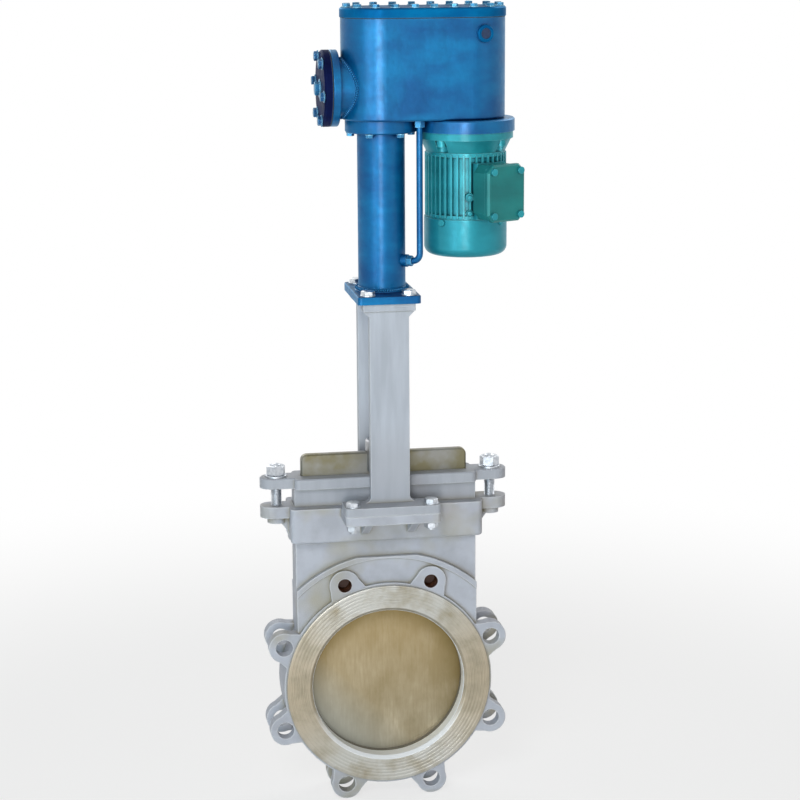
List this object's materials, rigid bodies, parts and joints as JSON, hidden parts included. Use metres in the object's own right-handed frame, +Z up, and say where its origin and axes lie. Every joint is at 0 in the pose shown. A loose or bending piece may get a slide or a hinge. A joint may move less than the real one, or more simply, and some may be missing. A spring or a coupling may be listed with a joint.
{
  "type": "hydraulic gate valve",
  "caption": "Lug type knife gate valve closed and opened by an electro-hydraulic cylinder, with oil tank, gear pump and hanging motor above a two-leg yoke.",
  "frame": {"origin": "centre of the bore, halfway between the two sealing faces", "axes": "+Y along the flow, -Y out of the front port, +Z up the stem, +X towards the motor's side"},
  "size_m": [0.3312, 0.1722, 1.0318],
  "materials": {
    "cast_silver": "blasted casting, sprayed silver",
    "silver_bolts": "sprayed over",
    "zinc_steel": "zinc plated",
    "seat_rubber": "moulded",
    "guide_plastic": "machined",
    "packing_fibre": "braided and greased",
    "stainless_plate": "rolled, ground",
    "bare_steel": "turned",
    "chromed_rod": "hard chromed and polished",
    "bronze": "turned",
    "blue_paint": "gloss enamel",
    "lid_paint": "gloss enamel",
    "side_paint": "gloss enamel",
    "painted_bolts": "gloss enamel",
    "gasket_sheet": "cut sheet",
    "sight_glass": "clear",
    "cast_pump": "die cast",
    "motor_paint": "satin enamel",
    "cowl_paint": "satin enamel",
    "core_steel": "stacked sheets",
    "winding_copper": "varnished copper coils",
    "fan_plastic": "moulded"
  },
  "bodies": {
    "root": {"valve_body": "cast_silver", "gland_follower": "cast_silver", "yoke_leg_front": "cast_silver", "yoke_leg_rear": "cast_silver", "yoke_foot_bolts": "silver_bolts", "yoke_foot_nuts": "silver_bolts", "gland_studs": "zinc_steel", "gland_nuts": "silver_bolts", "gland_washers": "zinc_steel", "seat_rings": "seat_rubber", "gate_guides": "guide_plastic", "packing_rings": "packing_fibre", "rod_seals": "seat_rubber", "rod_guide": "bronze", "cylinder_barrel": "blue_paint", "cylinder_plate_screws": "zinc_steel", "cylinder_end_cap": "bare_steel", "oil_pipe": "blue_paint", "pipe_union_nuts": "blue_paint", "tank_shell": "blue_paint", "tank_lid": "lid_paint", "tank_lid_gasket": "gasket_sheet", "tank_bolts": "zinc_steel", "side_cover": "side_paint", "side_cover_gasket": "gasket_sheet", "side_cover_bolts": "painted_bolts", "side_cover_plug": "painted_bolts", "level_glass_body": "blue_paint", "level_glass_lens": "sight_glass", "valve_block": "bare_steel", "cap_side_pipe": "bare_steel", "suction_strainer": "zinc_steel", "pump_housing": "cast_pump", "pump_cover": "cast_pump", "shaft_seal": "seat_rubber", "motor_adapter": "blue_paint", "motor_mount_screws": "zinc_steel", "front_end_shield": "motor_paint", "motor_frame": "motor_paint", "stator_core": "core_steel", "stator_windings": "winding_copper", "motor_bearings": "bare_steel", "rear_end_shield": "motor_paint", "fan_cowl": "cowl_paint", "motor_small_screws": "zinc_steel", "terminal_box": "motor_paint", "terminal_box_lid": "motor_paint"},
    "gate_slide_body": {"gate": "stainless_plate", "rod_clevis": "bare_steel", "clevis_pin": "bare_steel", "clevis_split_pin": "zinc_steel", "piston_rod": "chromed_rod", "piston": "bare_steel", "piston_seals": "seat_rubber"},
    "motor_rotor": {"rotor_shaft": "bare_steel", "rotor_core": "core_steel", "cooling_fan": "fan_plastic", "shaft_coupling": "bare_steel", "pump_drive_gear": "bare_steel"},
    "idler": {"pump_idler_gear": "bare_steel"}
  },
  "joints": [
    {"name": "gate_slide", "type": "slide", "parent": "root", "child": "gate_slide_body", "axis": [0, 0, 1], "range_m": [0, 0.2]},
    {"name": "rotor_spin", "type": "hinge", "parent": "root", "child": "motor_rotor", "pos_m": [0.108, 0, 0.65], "axis": [0, 0, 1], "continuous": true},
    {"name": "idler_spin", "type": "hinge", "parent": "root", "child": "idler", "pos_m": [0.08335, 0, 0.765], "axis": [0, 0, 1], "continuous": true}
  ],
  "couplings": [
    {"joint": "idler_spin", "follows": "rotor_spin", "ratio": -1}
  ]
}
